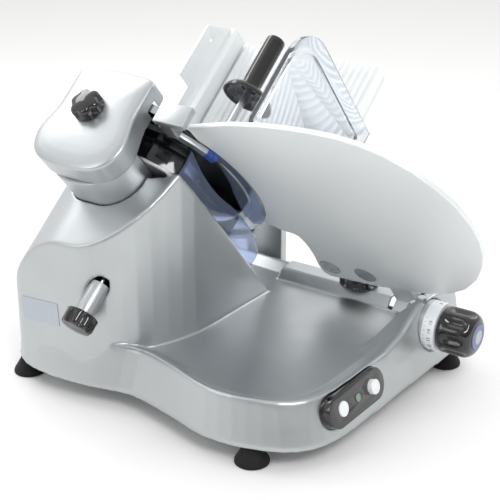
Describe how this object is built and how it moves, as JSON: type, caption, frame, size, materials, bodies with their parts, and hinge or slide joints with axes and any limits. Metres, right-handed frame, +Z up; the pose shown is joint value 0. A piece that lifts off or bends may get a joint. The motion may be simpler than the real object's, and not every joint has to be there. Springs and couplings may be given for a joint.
{
  "type": "food slicer",
  "caption": "Electric gravity-feed food slicer: tilted round blade, sliding product tray with pusher and clear guard, dial-set gauge plate and built-in blade sharpener.",
  "frame": {"origin": "bottom centre of the bounding box, on the table the feet stand on", "axes": "+Z up, -Y towards the operator and the front, +X towards the side of the product tray"},
  "size_m": [0.6281, 0.7314, 0.5276],
  "materials": {
    "cast": "satin cast aluminium",
    "plate": "satin anodised aluminium",
    "steel": "ground stainless steel",
    "dark_metal": "satin paint",
    "black": "gloss",
    "rubber": "matt",
    "white_plastic": "gloss",
    "cap_grey": "satin",
    "lamp": "clear green lens",
    "board": "printed circuit board",
    "stone": "abrasive grit",
    "smoked": "smoked clear plastic",
    "clear": "clear plastic",
    "clear_blue": "clear bluish plastic",
    "bronze": "turned bronze",
    "belt": "ribbed rubber"
  },
  "bodies": {
    "base": {"base_casting": "cast", "bottom_plate": "steel", "feet": "rubber", "foot_screws": "steel", "switch_panel": "black", "pilot_lamp": "lamp", "switch_block": "black", "control_board": "board", "dial_boss": "cast", "plate_guide_bars": "steel", "shaft_bearings": "steel", "bearing_housing": "cast", "blade_collar": "black", "motor_body": "dark_metal", "drive_belt": "belt", "tie_rod_sleeve": "white_plastic", "blade_cover": "plate", "ring_guard": "plate", "ring_bracket": "cast", "slice_deflector": "clear_blue", "sharpener_neck": "cast", "sharpener_post": "steel", "guide_bar": "steel", "lower_rail": "steel"},
    "start_button": {"start_button": "white_plastic"},
    "stop_button": {"stop_button": "white_plastic"},
    "dial": {"scale_ring": "white_plastic", "dial_knob": "black", "dial_cap": "cap_grey", "dial_spindle": "steel", "scroll_cam": "steel"},
    "plate": {"gauge_plate": "plate", "plate_plugs": "cap_grey", "plate_support": "plate"},
    "blade": {"blade": "steel", "blade_hub": "steel", "driven_pulley": "steel"},
    "motor": {"motor_shaft": "steel", "motor_pulley": "steel"},
    "release_rod": {"tie_rod": "steel", "tie_rod_knob": "black"},
    "sharpener": {"sharpener_cap": "cast", "stone_shafts": "steel"},
    "sharpener_knob": {"sharpener_knob": "black"},
    "grinding_stone": {"grinding_stone": "stone"},
    "deburring_stone": {"deburring_stone": "stone"},
    "carriage": {"carriage_block": "cast", "carriage_bushes": "bronze", "carriage_arm": "cast", "product_tray": "plate", "tray_fence": "plate", "hand_guard": "clear", "guard_screws": "black"},
    "roller": {"carriage_roller": "black"},
    "pusher_slider": {"pusher_slider": "steel"},
    "pusher": {"pusher_arm": "steel", "pusher_plate": "steel", "pusher_handle": "black", "pusher_dome": "smoked"},
    "lock_knob": {"lock_knob": "black"}
  },
  "joints": [
    {"name": "start_press", "type": "slide", "parent": "base", "child": "start_button", "axis": [0, 0.9569, -0.2905], "range_m": [0, 0.0025], "stiffness_N_per_m": 400, "springref_m": -0.002},
    {"name": "stop_press", "type": "slide", "parent": "base", "child": "stop_button", "axis": [0, 0.9569, -0.2905], "range_m": [0, 0.0025], "stiffness_N_per_m": 400, "springref_m": -0.002},
    {"name": "dial_turn", "type": "hinge", "parent": "base", "child": "dial", "pos_m": [0.0965, -0.2523, 0.096], "axis": [0, 1, 0], "range_deg": [0, 300]},
    {"name": "plate_slide", "type": "slide", "parent": "base", "child": "plate", "axis": [-0.766, 0, -0.6428], "range_m": [0, 0.015]},
    {"name": "blade_spin", "type": "hinge", "parent": "base", "child": "blade", "pos_m": [-0.0275, 0.1777, 0.3025], "axis": [0.766, 0, 0.6428], "continuous": true},
    {"name": "motor_spin", "type": "hinge", "parent": "base", "child": "motor", "pos_m": [0.04192, 0.1777, 0.21977], "axis": [0.766, 0, 0.6428], "continuous": true},
    {"name": "release_turn", "type": "hinge", "parent": "base", "child": "release_rod", "pos_m": [-0.06157, 0.1317, 0.3431], "axis": [0.766, 0, 0.6428], "range_deg": [0, 180]},
    {"name": "sharpener_lift", "type": "slide", "parent": "base", "child": "sharpener", "axis": [-0.6428, 0, 0.766], "range_m": [0, 0.045]},
    {"name": "sharpener_knob_turn", "type": "hinge", "parent": "sharpener", "child": "sharpener_knob", "pos_m": [-0.18388, 0.1857, 0.42975], "axis": [-0.6428, 0, 0.766], "range_deg": [0, 90]},
    {"name": "grinding_spin", "type": "hinge", "parent": "sharpener", "child": "grinding_stone", "pos_m": [-0.13549, 0.1477, 0.43119], "axis": [0.766, 0, 0.6428], "continuous": true},
    {"name": "deburring_spin", "type": "hinge", "parent": "sharpener", "child": "deburring_stone", "pos_m": [-0.13549, 0.2077, 0.43119], "axis": [0.766, 0, 0.6428], "continuous": true},
    {"name": "carriage_slide", "type": "slide", "parent": "base", "child": "carriage", "axis": [0, 1, 0], "range_m": [-0.26, 0.08]},
    {"name": "roller_turn", "type": "hinge", "parent": "carriage", "child": "roller", "pos_m": [0.1225, 0.1527, 0.0553], "axis": [1, 0, 0], "range_deg": [-540, 1680]},
    {"name": "pusher_slide", "type": "slide", "parent": "carriage", "child": "pusher_slider", "axis": [0.766, 0, 0.6428], "range_m": [-0.04, 0.08]},
    {"name": "pusher_swing", "type": "hinge", "parent": "pusher_slider", "child": "pusher", "pos_m": [0.07487, 0.2657, 0.32052], "axis": [-0.766, 0, -0.6428], "range_deg": [0, 75]},
    {"name": "lock_turn", "type": "hinge", "parent": "base", "child": "lock_knob", "pos_m": [0.1505, -0.0753, 0.099], "axis": [0, 0, 1], "range_deg": [-90, 90]}
  ],
  "couplings": [
    {"joint": "plate_slide", "follows": "dial_turn", "m_per_rad": 0.0028648},
    {"joint": "motor_spin", "follows": "blade_spin", "ratio": 2.7778},
    {"joint": "roller_turn", "follows": "carriage_slide", "rad_per_m": -111.11}
  ]
}
